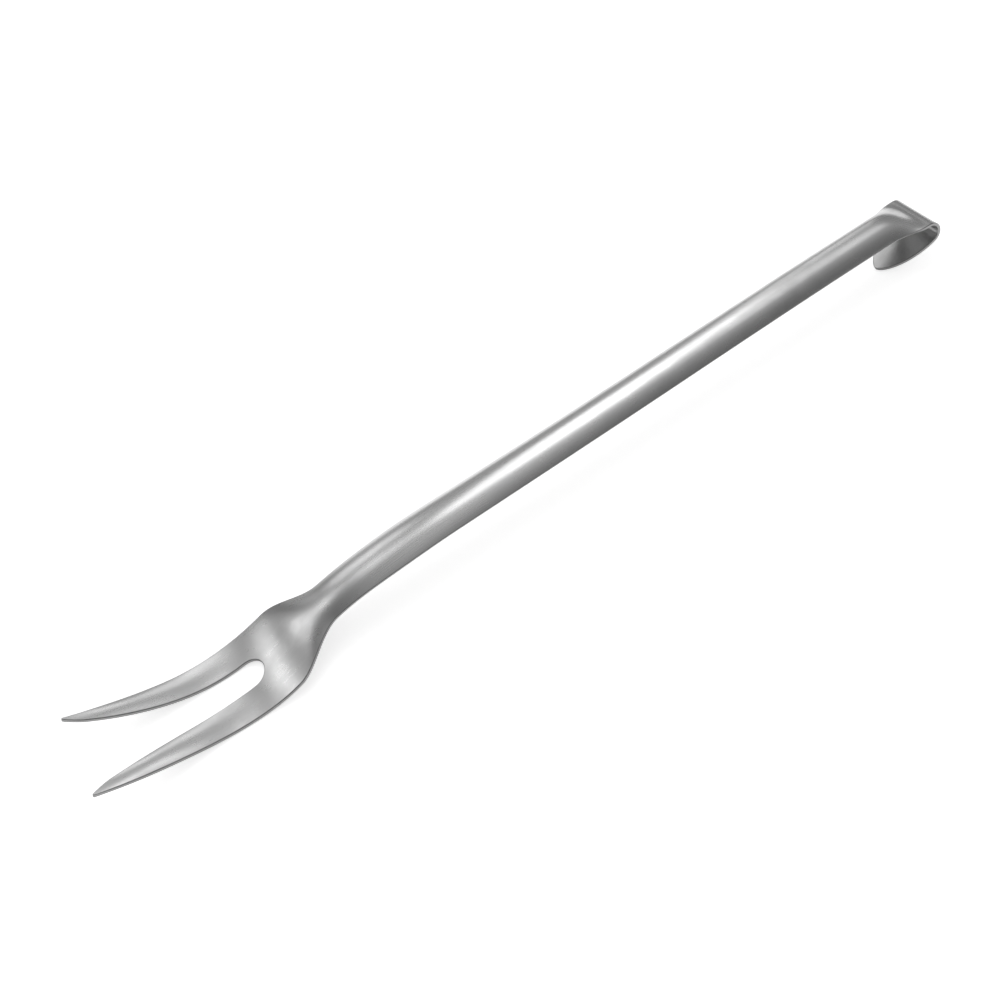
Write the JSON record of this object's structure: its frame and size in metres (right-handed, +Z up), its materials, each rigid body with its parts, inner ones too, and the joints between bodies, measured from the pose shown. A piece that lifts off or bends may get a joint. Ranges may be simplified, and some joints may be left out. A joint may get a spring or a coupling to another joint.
{
  "type": "serving fork",
  "caption": "Long-handled serving fork pressed from one stainless sheet, with curved tines, a curled channel handle and a folded hanging hook.",
  "frame": {"origin": "middle of the fork's box, on the table it lies on", "axes": "+X along the handle towards the hanging hook, +Y across the fork, +Z up from the table on the crowned side"},
  "size_m": [0.432, 0.0484, 0.0249],
  "materials": {
    "steel": "satin polished stainless steel",
    "worn_steel": "satin stainless steel with light handling wear"
  },
  "bodies": {
    "root": {"left_tine": "steel", "right_tine": "steel", "head": "steel", "neck": "steel", "handle": "worn_steel", "handle_end": "worn_steel", "hook_bend": "worn_steel", "hook_tongue": "worn_steel"}
  },
  "joints": []
}
